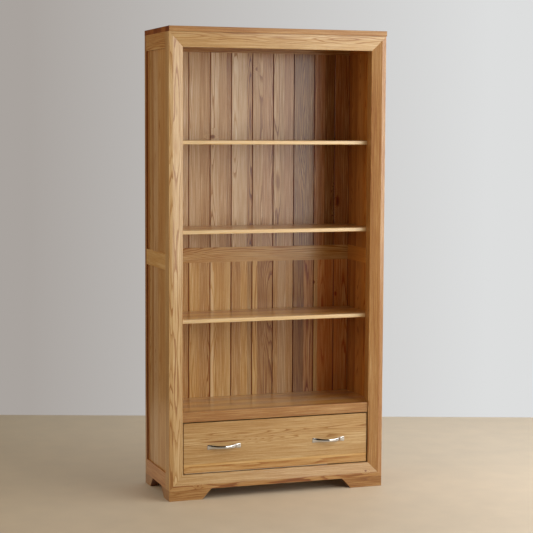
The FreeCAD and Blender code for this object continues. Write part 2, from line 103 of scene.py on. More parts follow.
# The room stands square to the view: level directions towards its wall and along it.
TO_WALL = Vector((math.sin(YAW), math.cos(YAW), 0))
TO_RIGHT = Vector((math.cos(YAW), -math.sin(YAW), 0))
WALL_AWAY = 7.596
FLOOR_HALF_WIDTH, FLOOR_DEPTH = 12, 20
# The lamps look at this height.
LAMP_TARGET = 0.95


def linear(hex_colour):
    """Linear RGB of an sRGB colour written as '#rrggbb'."""
    parts = [int(hex_colour[start:start + 2], 16) / 255 for start in (1, 3, 5)]
    return [part / 12.92 if part <= 0.04045 else ((part + 0.055) / 1.055) ** 2.4 for part in parts]


def opaque(colour):
    """A colour with the alpha that colour sockets take."""
    return list(colour) + [1]


def colour_property(name, description, hex_colour):
    """A colour setting whose default is written in sRGB."""
    return bpy.props.FloatVectorProperty(
        name=name, description=description, subtype="COLOR", size=3, min=0, max=1, default=linear(hex_colour),
    )


def number_property(name, description, default, least, most, **kind):
    """A number setting and its range."""
    return bpy.props.FloatProperty(
        name=name, description=description, default=default, min=least, max=most, **kind,
    )


class OakFinish(bpy.types.PropertyGroup):
    """Flat-sawn oak, planed, joined from narrow staves and sprayed with satin lacquer."""

    pale: colour_property("Pale", "Sapwood staves", "#e2c594")
    # Partly painted sheen: these pale greyish staves, used only on the upper back, also stand in for the sheen
    # of the light there.
    dove_and_sheen: colour_property("Dove", "Pale greyish staves", "#cdb089")
    fawn: colour_property("Fawn", "Pale pinkish staves", "#c09b6c")
    straw: colour_property("Straw", "Light yellow staves", "#cda463")
    wheat: colour_property("Wheat", "Even tan staves of the fronts", "#b9935c")
    honey: colour_property("Honey", "The commonest stave", "#bc8f52")
    rose: colour_property("Rose", "Pinkish brown staves", "#b78957")
    amber: colour_property("Amber", "Deep orange brown staves", "#b47b3f")
    brown: colour_property("Brown", "Darker brown staves", "#aa7b42")
    heart: colour_property("Heart", "Heartwood staves", "#95652e")
    # Painted bounce light: a bright warm tone for the staves at the right of the lower back, standing in for
    # light thrown back from the wood round that shaded corner.
    warm_bounce_russet: colour_property("Russet", "Warm red-brown staves at the right of the lower back", "#cf8a42")
    end_tint: colour_property("End grain", "What cut ends do to the stave's colour", "#b48a62")
    # Joint tint: the darker lacquer in the joints of boards is the wood's own. On the stiles' inner edges and
    # the feet's downward faces the same tint is painted shade.
    joint_and_shade_tint: colour_property("Joint", "Lacquer gathered in joints, inner edges and sawn edges", "#b67c42")
    # Painted shade: this warm tint darkens the inner faces of the sides, for the shade inside the case.
    inner_shade_tint: colour_property(
        "Inner faces", "What the heavier lacquer inside does to the stave's colour", "#ffdca2",
    )
    ring_mm: number_property(
        "Ring spacing", "Between yearly rings, in millimetres across the log", 1.7, 0.5, 20,
    )
    wander_mm: number_property(
        "Log sway", "How far the log's heart strays along a board, in millimetres", 13, 0, 100,
    )
    ring_depth: number_property("Rings", "How much denser the colour is in a ring's pores", 0.85, 0, 2)
    pore_depth: number_property("Pores", "How much denser the colour is in single pores", 0.35, 0, 2)
    streak_depth: number_property("Streaks", "Change of density from streak to streak", 0.5, 0, 2)
    cloud_depth: number_property("Clouds", "Slow change of density in a stave", 0.25, 0, 2)
    roughness: number_property("Roughness", "Of the satin lacquer", 0.42, 0, 1, subtype="FACTOR")


class MetalFinish(bpy.types.PropertyGroup):
    """Plated handles, pins and screws."""

    chrome: colour_property("Chrome", "Polished plating of the handles", "#d9dadb")
    nickel: colour_property("Nickel", "Bright plating of the shelf pins", "#c9c4b8")
    zinc: colour_property("Zinc", "Passivated plating of the screws", "#b9b7a8")
    handle_crown: number_property(
        "Handle crown", "Rise of the strap's rounded face", 0.0016, 0, 0.003, unit="LENGTH",
    )
    pin_collar: number_property(
        "Pin collar", "Radius of the shelf pin's collar", 0.0039, 0.0026, 0.006, unit="LENGTH",
    )
    screw_head: number_property(
        "Screw head", "Radius of the countersunk screws' heads", 0.0042, 0.002, 0.006, unit="LENGTH",
    )


class StageSettings(bpy.types.PropertyGroup):
    """Plain floor, plain wall colour and soft lamps."""

    floor: colour_property("Floor", "Pale stone floor on the right", "#ddd1be")
    floor_shade: colour_property("Floor shade", "The same floor on the left, further from the light", "#b6a991")
    wall: colour_property("Wall", "Plain wall on the right", "#dddede")
    wall_shade: colour_property("Wall shade", "The same wall on the left, further from the light", "#a9a39e")
    ambient: number_property("Ambient", "Light from all round", 0.4, 0, 2)
    key_power: number_property("Key light", "Soft light from the right front", 83, 0, 1000, unit="POWER")
    fill_power: number_property("Fill light", "Weak warm light from the left", 39, 0, 1000, unit="POWER")
    side_power: number_property("Side light", "Low soft light from the right", 34, 0, 1000, unit="POWER")


def add(tree, kind, inputs=(), **settings):
    """Adds one shader node. Inputs go by socket name or number; a node stands for its first output.

    A MapRange node reads the range of its inputs 1 and 2 and gives that of 3 and 4.
    """
    made = tree.nodes.new("ShaderNode" + kind)
    for name, value in settings.items():
        setattr(made, name, value)
    for socket, value in dict(inputs).items():
        if isinstance(value, bpy.types.Node):
            value = value.outputs[0]
        if isinstance(value, bpy.types.NodeSocket):
            tree.links.new(value, made.inputs[socket])
        else:
            made.inputs[socket].default_value = value
    return made


def new_material(name):
    """A material with an empty node tree, and that tree."""
    material = bpy.data.materials.new(name)
    material.use_nodes = True
    material.node_tree.nodes.clear()
    return material, material.node_tree


def both(*names):
    """The left and the right node of each name."""
    return [name + "_" + side for name in names for side in ("left", "right")]


def stave_row(tree, look, cell, staves, seed):
    """Stepped ramps over a row of staves: the tone of each, and where the heart of its log lies.

    A heart's red is its stave's middle as a share of the row, green and blue are shares of its way
    aside and behind, and alpha is the stave's lot, which sets its sway and textures apart.
    """
    chance = random.Random(seed)
    starts = [start for start, tone in staves]
    ends = starts[1:] + [CELLS]
    tones = [opaque(getattr(look, tone)) for start, tone in staves]
    hearts = [
        [(start + end) / (2 * CELLS), chance.random(), chance.random(), chance.random()]
        for start, end in zip(starts, ends)
    ]
    ramps = []
    for colours in (tones, hearts):
        made = add(tree, "ValToRGB", {0: cell})
        ramp = made.color_ramp
        ramp.interpolation = "CONSTANT"
        ramp.elements.remove(ramp.elements[1])
        ramp.elements[0].position = 0
        for start in starts[1:]:
            ramp.elements.new((start - 0.5) / CELLS)
        for element, colour in zip(ramp.elements, colours):
            element.color = colour
        ramps.append(made)
    return ramps


def heart_distance(tree, look, aside, behind, run, deep, heart, lot):
    """Distance in mm from the heart of a stave's log, which sways on its way along the grain."""
    aside = add(tree, "Math", {0: heart[1], 1: 2 * HEART_ASIDE_MM, 2: aside}, operation="MULTIPLY_ADD")
    depth_mm = HEART_FAR_MM - HEART_NEAR_MM
    behind = add(tree, "Math", {0: heart[2], 1: depth_mm, 2: behind}, operation="MULTIPLY_ADD")
    slow = add(tree, "CombineXYZ", {
        0: add(tree, "Math", {0: run, 1: 1 / SWAY_LONG_MM}, operation="MULTIPLY"),
        1: add(tree, "Math", {0: lot, 1: SWAY_SHIFT}, operation="MULTIPLY"),
        2: add(tree, "Math", {0: deep, 1: 1 / SWAY_DEEP_MM}, operation="MULTIPLY"),
    })
    sway = add(tree, "TexNoise", {0: slow, "Scale": 1, "Detail": 1.5}).outputs["Color"]
    sway = add(tree, "SeparateColor", {0: sway}).outputs
    aside = add(tree, "Math", {0: sway[0], 1: 2 * look.wander_mm, 2: aside}, operation="MULTIPLY_ADD")
    behind = add(tree, "Math", {0: sway[1], 1: 2 * look.wander_mm, 2: behind}, operation="MULTIPLY_ADD")
    # Half of each sway and of the room aside is taken off again, so that they go either way.
    offset = add(tree, "CombineXYZ", {
        0: add(tree, "Math", {0: aside, 1: -look.wander_mm - HEART_ASIDE_MM}, operation="ADD"),
        1: add(tree, "Math", {0: behind, 1: HEART_NEAR_MM - look.wander_mm}, operation="ADD"),
    })
    return add(tree, "VectorMath", {0: offset}, operation="LENGTH").outputs["Value"]


def bend_round_knots(tree, wide, run, radius, knots):
    """Bends the rings round small knots and streaks. Gives the bent radius and the marks' density.

    A knot is its place across and along, its size in mm, how many times as long as wide it is, and
    how much denser.
    """
    marks = None
    for knot_across, knot_along, size_mm, slender, density in knots:
        beside = add(tree, "Math", {0: wide, 1: knot_across}, operation="SUBTRACT")
        beyond = add(tree, "Math", {0: run, 1: knot_along}, operation="SUBTRACT")
        beyond = add(tree, "Math", {0: beyond, 1: 1 / slender}, operation="MULTIPLY")
        away = add(tree, "CombineXYZ", {0: beside, 1: beyond})
        away = add(tree, "VectorMath", {0: away}, operation="LENGTH").outputs["Value"]
        bend = {0: away, 1: 0, 2: 5 * size_mm, 3: 3 * size_mm, 4: 0}
        bend = add(tree, "MapRange", bend, interpolation_type="SMOOTHSTEP")
        radius = add(tree, "Math", {0: radius, 1: bend}, operation="ADD")
        spot = {0: away, 1: 0.3 * size_mm, 2: 1.5 * size_mm, 3: density, 4: 0}
        spot = add(tree, "MapRange", spot, interpolation_type="SMOOTHSTEP")
        marks = spot if marks is None else add(tree, "Math", {0: marks, 1: spot}, operation="MAXIMUM")
    return radius, marks


def ring_lines(tree, look, radius, lot):
    """Strength of the rings: each starts with a sharp row of pores and fades towards the next one."""
    turns = add(tree, "Math", {0: radius, 1: 1 / look.ring_mm}, operation="MULTIPLY")
    year = add(tree, "Math", {0: turns}, operation="FLOOR")
    since = add(tree, "Math", {0: turns}, operation="FRACT")
    year_share = add(tree, "TexWhiteNoise", {0: add(tree, "CombineXYZ", {0: year, 1: lot})})
    year_share = add(tree, "MapRange", {0: year_share, 3: 0.35, 4: 1})
    fade = add(tree, "MapRange", {0: since, 1: 0, 2: 0.4, 3: 1, 4: 0}, interpolation_type="SMOOTHSTEP")
    rise = add(tree, "MapRange", {0: since, 1: 0.93, 2: 1, 3: 0, 4: 1}, interpolation_type="SMOOTHSTEP")
    line = add(tree, "Math", {0: fade, 1: rise}, operation="MAXIMUM")
    return add(tree, "Math", {0: line, 1: year_share}, operation="MULTIPLY")


def oak(name, nodes, along, across, face_mm, start_mm, step_mm, staves, seed, fold_mm=None,
        at_corner=False, knots=(), joints_mm=None, shaded_faces=None, shaded_inside_mm=None, outside_mm=None,
        figure=1, coat=0.65):
    """Finishes CAD nodes in satin-lacquered oak: a soft sheen over long arched lines and open pores.

    Every stave is cut from its own log: rings are circles round a heart line that lies under the
    face and strays a little, which draws long arches in the middle and straight lines beside them.

    along, across: the axes of the grain and of the row of staves.
    face_mm: where the show face is on the third axis.
    start_mm, step_mm: the first cell's start and the cells' width across the staves.
    staves: (first cell, tone) of each.
    fold_mm: (lowest, spacing) of like pieces one above the other that share the finish.
    at_corner: the grain turns round a corner.
    knots: see bend_round_knots.
    joints_mm: (spacing, one of them, half width) of the darker joints of boards.
    shaded_faces: (axis, sign) of the faces that get painted shade, in the joint tint.
    shaded_inside_mm: faces nearer the middle than this get painted shade, a warm darker tint for the shade
    inside the case.
    outside_mm: faces further out than this are hidden, and their tones are evened out.
    figure, coat: strength of the rings and streaks, and share of polished lacquer over them.
    """
    look = bpy.context.scene.bookcase_oak
    material, tree = new_material(name)
    place = add(tree, "TexCoord").outputs["Object"]
    millimetres = add(tree, "VectorMath", {0: place, "Scale": 1000}, operation="SCALE")
    axes = add(tree, "SeparateXYZ", {0: millimetres}).outputs
    normal = add(tree, "SeparateXYZ", {0: add(tree, "NewGeometry").outputs["Normal"]}).outputs
    run, wide, deep = axes[along], axes[across], axes[3 - along - across]
    if at_corner:
        # Along X on a front face, along Y on a side face.
        side = add(tree, "Math", {0: normal[X]}, operation="ABSOLUTE")
        side = add(tree, "Math", {0: side, 1: 0.6}, operation="GREATER_THAN")
        run = add(tree, "Mix", {0: side, 2: axes[X], 3: axes[Y]}).outputs[0]
    # Left and right pieces are cut alike: depth is counted from the middle of the bookcase.
    level = add(tree, "Math", {0: deep}, operation="ABSOLUTE")
    if fold_mm:
        level = add(tree, "Math", {0: deep, 1: fold_mm[0]}, operation="SUBTRACT")
        level = add(tree, "Math", {0: level, 1: fold_mm[1]}, operation="MODULO")
    row_mm = CELLS * step_mm
    cell = add(tree, "MapRange", {0: wide, 1: start_mm, 2: start_mm + row_mm})
    tones, hearts = stave_row(tree, look, cell, staves, seed)
    if outside_mm:
        outer = add(tree, "MapRange", {0: level, 1: outside_mm, 2: outside_mm + 1, 3: 0, 4: 0.75})
        evened = {0: outer, COLOUR_A: tones, COLOUR_B: opaque(look.honey)}
        tones = add(tree, "Mix", evened, data_type="RGBA").outputs[MIXED]

    heart = add(tree, "SeparateColor", {0: hearts}).outputs
    lot = hearts.outputs["Alpha"]
    middle = add(tree, "Math", {0: heart[0], 1: row_mm, 2: start_mm}, operation="MULTIPLY_ADD")
    aside = add(tree, "Math", {0: wide, 1: middle}, operation="SUBTRACT")
    behind = add(tree, "Math", {0: level, 1: abs(face_mm)}, operation="SUBTRACT")
    behind = add(tree, "Math", {0: behind}, operation="ABSOLUTE")
    radius = heart_distance(tree, look, aside, behind, run, deep, heart, lot)
    # The textures lie in grain space: across, deep, along, shifted for every stave.
    shifted = add(tree, "Math", {0: lot, 1: GRAIN_SHIFT_MM, 2: run}, operation="MULTIPLY_ADD")
    grain = add(tree, "CombineXYZ", {0: wide, 1: level, 2: shifted})
    textures = {}
    for texture, (wide_mm, long_mm, detail) in GRAIN.items():
        waves = (1 / wide_mm, 1 / wide_mm, 1 / long_mm)
        scaled = add(tree, "VectorMath", {0: grain, 1: waves}, operation="MULTIPLY")
        textures[texture] = add(tree, "TexNoise", {0: scaled, "Scale": 1, "Detail": detail})
    radius = add(tree, "Math", {0: textures["ripple"], 1: RIPPLE_MM, 2: radius}, operation="MULTIPLY_ADD")
    radius, marks = bend_round_knots(tree, wide, run, radius, knots)
    line = ring_lines(tree, look, radius, lot)
    pore = add(tree, "MapRange", {0: textures["pore"], 1: 0.52, 2: 0.68})
    pore_share = add(tree, "MapRange", {0: line, 3: 0.3, 4: 1})
    pore = add(tree, "Math", {0: pore, 1: pore_share}, operation="MULTIPLY")

    # Darker oak is the same dye, only denser: the stave's colour to a power.
    streaks = look.streak_depth * max(1, figure) / 2
    clouds = look.cloud_depth / 2
    dense = add(tree, "MapRange", {0: textures["streak"], 1: 0.3, 2: 0.7, 3: 0.9 - streaks, 4: 0.9 + streaks})
    cloud = add(tree, "MapRange", {0: textures["cloud"], 1: 0.3, 2: 0.7, 3: -clouds, 4: clouds})
    dense = add(tree, "Math", {0: dense, 1: cloud}, operation="ADD")
    dense = add(tree, "Math", {0: line, 1: look.ring_depth * figure, 2: dense}, operation="MULTIPLY_ADD")
    dense = add(tree, "Math", {0: pore, 1: look.pore_depth, 2: dense}, operation="MULTIPLY_ADD")
    if marks is not None:
        dense = add(tree, "Math", {0: dense, 1: marks}, operation="ADD")
    colour = add(tree, "Gamma", {0: tones, 1: dense}).outputs[0]

    # End grain and board joints darken the wood's own colour; the chosen faces and the inner faces get painted
    # shade.
    stains_and_shades = []
    if not at_corner:
        end = add(tree, "Math", {0: normal[along]}, operation="ABSOLUTE")
        end = add(tree, "MapRange", {0: end, 1: 0.75, 2: 0.95})
        stains_and_shades.append((end, look.end_tint))
    if joints_mm:
        spacing_mm, joint_mm, half_mm = joints_mm
        apart = add(tree, "Math", {0: wide, 1: joint_mm}, operation="SUBTRACT")
        apart = add(tree, "Math", {0: apart, 1: spacing_mm / 2}, operation="PINGPONG")
        near = add(tree, "MapRange", {0: apart, 1: 0.3 * half_mm, 2: half_mm, 3: 1, 4: 0})
        stains_and_shades.append((near, look.joint_and_shade_tint))
    # Painted shade on the faces that turn this way.
    if shaded_faces:
        axis, sign = shaded_faces
        edge = add(tree, "MapRange", {0: normal[axis], 1: 0.3 * sign, 2: 0.6 * sign})
        stains_and_shades.append((edge, look.joint_and_shade_tint))
    # Painted shade, warm and darker, on the faces inside the case.
    if shaded_inside_mm:
        inner = add(tree, "Math", {0: level, 1: shaded_inside_mm}, operation="LESS_THAN")
        stains_and_shades.append((inner, look.inner_shade_tint))
    for share, tint in stains_and_shades:
        mixed = {0: share, COLOUR_A: colour, COLOUR_B: opaque(tint)}
        colour = add(tree, "Mix", mixed, data_type="RGBA", blend_type="MULTIPLY").outputs[MIXED]

    # Pores stay a little open under the lacquer.
    sunk = add(tree, "Math", {0: line, 1: 0.25}, operation="MULTIPLY")
    sunk = add(tree, "Math", {0: pore, 1: 0.6, 2: sunk}, operation="MULTIPLY_ADD")
    height = add(tree, "Math", {0: 1, 1: sunk}, operation="SUBTRACT")
    bump = add(tree, "Bump", {"Strength": 0.35, "Distance": 0.0002, "Height": height})
    gloss = add(tree, "MapRange", {0: sunk, 3: look.roughness - 0.03, 4: look.roughness + 0.14})
    shader = add(tree, "BsdfPrincipled", {
        "Base Color": colour, "Roughness": gloss, "IOR": 1.5, "Coat Weight": coat, "Coat Roughness": 0.18,
        "Normal": bump,
    })
    add(tree, "OutputMaterial", {0: shader})
    for node in nodes:
        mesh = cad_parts[node].data
        mesh.materials.clear()
        mesh.materials.append(material)


def metal(name, colour, roughness, scratch_mm, swell_mm=14):
    """Plated metal. Fine wear changes its roughness, and slow swells bend what it mirrors."""
    material, tree = new_material(name)
    place = add(tree, "TexCoord").outputs["Object"]
    wear = add(tree, "TexNoise", {0: place, "Scale": 1000 / scratch_mm, "Detail": 4})
    swell = add(tree, "TexNoise", {0: place, "Scale": 1000 / swell_mm, "Detail": 0})
    gloss = add(tree, "MapRange", {0: wear, 1: 0.35, 2: 0.7, 3: roughness, 4: roughness + 0.08})
    bump = add(tree, "Bump", {"Strength": 0.2, "Distance": 0.0002, "Height": swell})
    tarnish = add(tree, "MapRange", {0: wear, 1: 0.4, 2: 0.75, 3: 1, 4: 0.9})
    tint = add(tree, "VectorMath", {0: list(colour), "Scale": tarnish}, operation="SCALE")
    shader = {"Base Color": tint, "Metallic": 1, "Roughness": gloss, "Normal": bump}
    add(tree, "OutputMaterial", {0: add(tree, "BsdfPrincipled", shader)})
    return material


def piece_from(name, mesh_data, material, body, smooth_degrees):
    """Makes a piece of the object from a bmesh, smooth but for its real edges, riding on a body."""
    mesh = bpy.data.meshes.new(name)
    bmesh.ops.recalc_face_normals(mesh_data, faces=mesh_data.faces)
    mesh_data.to_mesh(mesh)
    mesh_data.free()
    mesh.materials.append(material)
    mesh.shade_smooth()
    mesh.set_sharp_from_angle(angle=math.radians(smooth_degrees))
    piece = bpy.data.objects.new(name, mesh)
    bpy.context.scene.collection.objects.link(piece)
    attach(piece, body)
    return piece


def lathe(made, profile, sides=32):
    """Turns a profile of (radius, height) about Z into made."""
    rings = []
    for radius, height in profile:
        if radius == 0:
            rings.append([made.verts.new((0, 0, height))])
            continue
        angles = [math.tau * turn / sides for turn in range(sides)]
        rings.append([
            made.verts.new((radius * math.cos(angle), radius * math.sin(angle), height)) for angle in angles
        ])
    for low, high in zip(rings, rings[1:]):
        for turn in range(sides):
            after = (turn + 1) % sides
            corners = [low[turn % len(low)], low[after % len(low)]]
            corners += [high[after % len(high)], high[turn % len(high)]]
            # A ring that is one point gives triangles.
            corners = [corner for place, corner in enumerate(corners) if corner not in corners[:place]]
            made.faces.new(corners)


def cross_recess(radius, depth):
    """A cutter for the cross in a screw's head, whose face is at height 0: two bars with sloping ends."""
    # Half a bar's length at the top and half its width, as shares of the head's radius, and how
    # much of the length is left at the bottom.
    reach, half_width, taper = 0.58, 0.13, 0.45
    above = 0.4 * depth
    cutter = bmesh.new()
    for quarter in (0, 1):
        corners = []
        for height, share in ((above, 1.0), (-depth, taper)):
            for across, side in ((-1, -1), (1, -1), (1, 1), (-1, 1)):
                place = Vector((across * radius * reach * share, side * radius * half_width, height))
                corners.append(cutter.verts.new(Matrix.Rotation(quarter * math.pi / 2, 3, "Z") @ place))
        low, high = corners[:4], corners[4:]
        cutter.faces.new(low)
        cutter.faces.new(high)
        for side in range(4):
            after = (side + 1) % 4
            cutter.faces.new([low[side], low[after], high[after], high[side]])
    bmesh.ops.recalc_face_normals(cutter, faces=cutter.faces)
    return cutter


def screw_mesh(profile, recess_radius, recess_depth):
    """A turned screw with its head at the top and a cross cut in it."""
    body = bmesh.new()
    lathe(body, profile)
    bmesh.ops.recalc_face_normals(body, faces=body.faces)
    objects = []
    for name, data in (("screw_blank", body), ("recess_cutter", cross_recess(recess_radius, recess_depth))):
        mesh = bpy.data.meshes.new(name)
        data.to_mesh(mesh)
        data.free()
        made = bpy.data.objects.new(name, mesh)
        bpy.context.scene.collection.objects.link(made)
        objects.append(made)
    blank, cutter = objects
    cutter.location.z = profile[-1][1]
    cut = blank.modifiers.new("recess", "BOOLEAN")
    cut.operation = "DIFFERENCE"
    cut.object = cutter
    cut.solver = "EXACT"
    cut.use_self = True
    bpy.context.view_layer.update()
    graph = bpy.context.evaluated_depsgraph_get()
    finished = bpy.data.meshes.new_from_object(blank.evaluated_get(graph))
    for made in objects:
        bpy.data.objects.remove(made)
    return finished


def place_copies(target, mesh, places, direction):
    """Copies a mesh that points up Z into target, at each place, turned to point in direction."""
    turn = Vector(direction).to_track_quat("Z", "Y").to_matrix().to_4x4()
    for place in places:
        copy = mesh.copy()
        spin = Matrix.Rotation(last_turns.uniform(0, math.pi), 4, "Z")
        copy.transform(Matrix.Translation(place) @ turn @ spin)
        target.from_mesh(copy)
        bpy.data.meshes.remove(copy)


class BOOKCASE_OT_finish_frame(bpy.types.Operator):
    """Lacquered oak on posts, rails, stiles, feet, runners and the blocks inside the corners"""

    bl_idname = "bookcase.finish_frame"
    bl_label = "Finish Frame"

    def execute(self, context):
        # Planed stock: quiet lines over the whole length and an even sheen. The staves of a row fall
        # on separate pieces, or on the flat strip and the bevel of one, which differ a little in tone.
        # The posts' flat strips are the cells under 5 and over 245.
        cell_mm = 2 * STRIP_MM / 240
        oak(
            "oak_planed_lacquered_posts", both("front_post"), along=Z, across=X, face_mm=FRONT_MM,
            start_mm=-STRIP_MM - 5 * cell_mm, step_mm=cell_mm,
            staves=[(0, "wheat"), (5, "wheat"), (20, "honey"), (230, "brown"), (245, "rose")],
            figure=1.05, seed=11,
        )
        oak(
            "oak_planed_lacquered_front_rails", ["front_top_rail", "front_bottom_rail"],
            along=X, across=Z, face_mm=FRONT_MM, start_mm=30, step_mm=7,
            staves=[(0, "brown"), (4, "wheat"), (11, "honey"), (241, "wheat")],
            knots=[(64, 372, 3, 1.6, 1.6), (53, -326, 2.5, 1.6, 0.7)], seed=12,
        )
        # Painted shade darkens the stiles' inner edges, the faces towards the front in the recess beside the
        # side boards.
        oak(
            "oak_planed_lacquered_stiles", both("rear_stile"),
            along=Z, across=X, face_mm=180.5, start_mm=-441, step_mm=3.46,
            staves=[(0, "brown"), (7, "honey"), (248, "brown")], shaded_faces=(Y, -1), seed=13,
        )
        oak(
            "oak_planed_lacquered_side_rails", both("side_top_rail", "side_middle_rail", "side_bottom_rail"),
            along=Y, across=Z, face_mm=SIDE_RAILS_MM, start_mm=0, step_mm=HEIGHT_CELL_MM,
            staves=[(0, "amber"), (20, "straw"), (239, "honey")], shaded_inside_mm=SIDE_INSIDE_MM, seed=14,
        )
        # Less polished lacquer, so that no grey veil lies on the back's dark corners.
        oak(
            "oak_planed_lacquered_back_rails", ["back_top_rail", "back_middle_rail", "back_bottom_rail"],
            along=X, across=Z, face_mm=BACK_RAILS_MM, start_mm=0, step_mm=HEIGHT_CELL_MM,
            staves=[(0, "honey"), (20, "straw"), (239, "brown")], figure=1.5, coat=0.4, seed=15,
        )
        # Sawn to shape from heartwood: dark, with little figure. The edges that look down get painted shade.
        oak(
            "oak_sawn_lacquered_feet", both("front_foot", "rear_foot"),
            along=X, across=Z, face_mm=FRONT_MM, start_mm=0, step_mm=1,
            staves=[(0, "heart"), (40, "heart")], at_corner=True, shaded_faces=(Z, -1), figure=0.4, seed=16,
        )
        oak(
            "oak_planed_lacquered_blocks", ["top_blocks"],
            along=X, across=Y, face_mm=1742, start_mm=-200, step_mm=1.6,
            staves=[(0, "honey"), (50, "brown"), (210, "honey")], seed=17,
        )
        oak(
            "oak_planed_lacquered_runners", ["drawer_stops"] + both("drawer_runner", "deck_cleat"),
            along=Y, across=X, face_mm=74.7, start_mm=-421, step_mm=3.3,
            staves=[(0, "honey"), (18, "honey"), (237, "honey")], seed=18,
        )
        return {"FINISHED"}


class BOOKCASE_OT_finish_panels(bpy.types.Operator):
    """Lacquered oak boards of the back and the sides"""

    bl_idname = "bookcase.finish_panels"
    bl_label = "Finish Side and Back Boards"

    def execute(self, context):
        # Tongued boards of 25 cells, some of two or three staves, each from another log: the tone
        # jumps at the joints, which are a little darker.
        back = {
            "along": Z, "across": X, "face_mm": BACK_BOARDS_MM, "start_mm": -445, "step_mm": 3.56,
            "joints_mm": (89, 0.5, 3.4), "outside_mm": BACK_OUTSIDE_MM,
        }
        oak(
            "oak_tongued_lacquered_back_upper", ["back_boards_upper"], **back,
            # The pale greyish staves are partly painted sheen.
            staves=[
                (0, "brown"), (25, "dove_and_sheen"), (50, "dove_and_sheen"), (63, "fawn"), (75, "dove_and_sheen"), (86, "fawn"),
                (95, "brown"), (100, "dove_and_sheen"), (119, "brown"), (125, "fawn"), (137, "rose"), (150, "fawn"),
                # The dark staves from cell 175 on are partly painted shade, where the right post shades the
                # back.
                (163, "rose"), (175, "heart"), (188, "heart"), (200, "amber"), (213, "heart"), (225, "amber"),
            ],
            knots=[(-167, 1387, 9, 0.8, 2.4), (17, 1658, 4, 1.8, 1.4), (372, 1124, 7, 3, 1.3)],
            figure=1.7, seed=21,
        )
        oak(
            "oak_tongued_lacquered_back_lower", ["back_boards_lower"], **back,
            # The red-brown staves from cell 205 on are painted warm bounce light.
            staves=[
                (0, "brown"), (25, "honey"), (50, "straw"), (63, "honey"), (75, "pale"), (80, "straw"),
                (100, "honey"), (112, "straw"), (120, "wheat"), (125, "straw"), (131, "brown"), (150, "honey"),
                # The dark staves at cells 175 and 188 are partly painted shade of the right post.
                (156, "fawn"), (166, "honey"), (175, "heart"), (188, "amber"), (200, "straw"), (205, "warm_bounce_russet"),
                (225, "warm_bounce_russet"),
            ],
            knots=[(270, 792, 4, 1.8, 1.9), (366, 741, 4, 2.2, 1.5)], figure=1.3, coat=0.3, seed=22,
        )
        # Boards glued flush: one smooth panel with soft bands of tone.
        boards = ["side_board_%s_%d" % (span, number) for span in ("lower", "upper") for number in (1, 2, 3)]
        oak(
            "oak_jointed_lacquered_sides", both(*boards),
            along=Z, across=Y, face_mm=SIDE_BOARDS_MM, start_mm=-119.5, step_mm=1.1,
            staves=[
                (0, "straw"), (26, "honey"), (70, "honey"), (117, "fawn"), (172, "brown"), (196, "wheat"),
                (222, "brown"),
            ],
            shaded_inside_mm=SIDE_INSIDE_MM, seed=23,
        )
        return {"FINISHED"}


class BOOKCASE_OT_finish_shelves(bpy.types.Operator):
    """Lacquered oak of the shelves, the deck over the drawer and the top"""

    bl_idname = "bookcase.finish_shelves"
    bl_label = "Finish Shelves, Deck and Top"

    def execute(self, context):
        # Boards glued up from staves 50 to 60 mm wide: soft bands of tone along their length.
        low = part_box("shelf_lower")[0]
        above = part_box("shelf_middle")[0]
        oak(
            "oak_staved_lacquered_shelves", ["shelf_lower", "shelf_middle", "shelf_upper"],
            along=X, across=Y, face_mm=15, start_mm=-119, step_mm=1.1,
            staves=[(0, "pale"), (26, "straw"), (72, "honey"), (120, "straw"), (164, "rose"), (208, "straw")],
            fold_mm=(low.z * 1000, (above.z - low.z) * 1000), seed=31,
        )
        oak(
            "oak_staved_lacquered_deck", ["deck_rail", "deck_board"],
            along=X, across=Y, face_mm=338, start_mm=-160, step_mm=1.26,
            staves=[(0, "brown"), (32, "straw"), (80, "fawn"), (122, "straw"), (170, "fawn"), (214, "straw")],
            figure=1.3, seed=32,
        )
        # A duller lacquer, so that the top keeps its colour when it is seen flat from the side.
        oak(
            "oak_staved_lacquered_top", ["top_board"],
            along=X, across=Y, face_mm=1800, start_mm=-176, step_mm=1.4,
            staves=[(0, "brown"), (38, "straw"), (81, "honey"), (120, "brown"), (158, "straw"), (200, "honey")],
            coat=0.1, seed=33,
        )
        return {"FINISHED"}


class BOOKCASE_OT_finish_drawer(bpy.types.Operator):
    """Lacquered oak of the drawer's front and box"""

    bl_idname = "bookcase.finish_drawer"
    bl_label = "Finish Drawer"

    def execute(self, context):
        # Wide calm staves, tan with a narrow paler one among them, and one long thin dark streak.
        oak(
            "oak_staved_lacquered_drawer_front", ["drawer_front"],
            along=X, across=Z, face_mm=-155.5, start_mm=60, step_mm=1,
            staves=[(0, "honey"), (67, "straw"), (75, "wheat"), (176, "wheat")],
            knots=[(218, -222, 2.8, 28, 1.2)], figure=0.65, seed=45,
        )
        oak(
            "oak_planed_lacquered_drawer_sides", both("drawer_side"),
            along=Y, across=Z, face_mm=379, start_mm=90, step_mm=1,
            staves=[(0, "straw"), (92, "honey"), (200, "straw")], seed=42,
        )
        oak(
            "oak_planed_lacquered_drawer_back", ["drawer_back"],
            along=X, across=Z, face_mm=121.5, start_mm=90, step_mm=1,
            staves=[(0, "honey"), (110, "straw"), (200, "straw")], seed=43,
        )
        # Veneer: pale, even sheets.
        oak(
            "oak_veneered_lacquered_drawer_bottom", ["drawer_bottom"],
            along=X, across=Y, face_mm=117, start_mm=-150, step_mm=1.2,
            staves=[(0, "straw"), (120, "straw")], seed=44,
        )
        return {"FINISHED"}


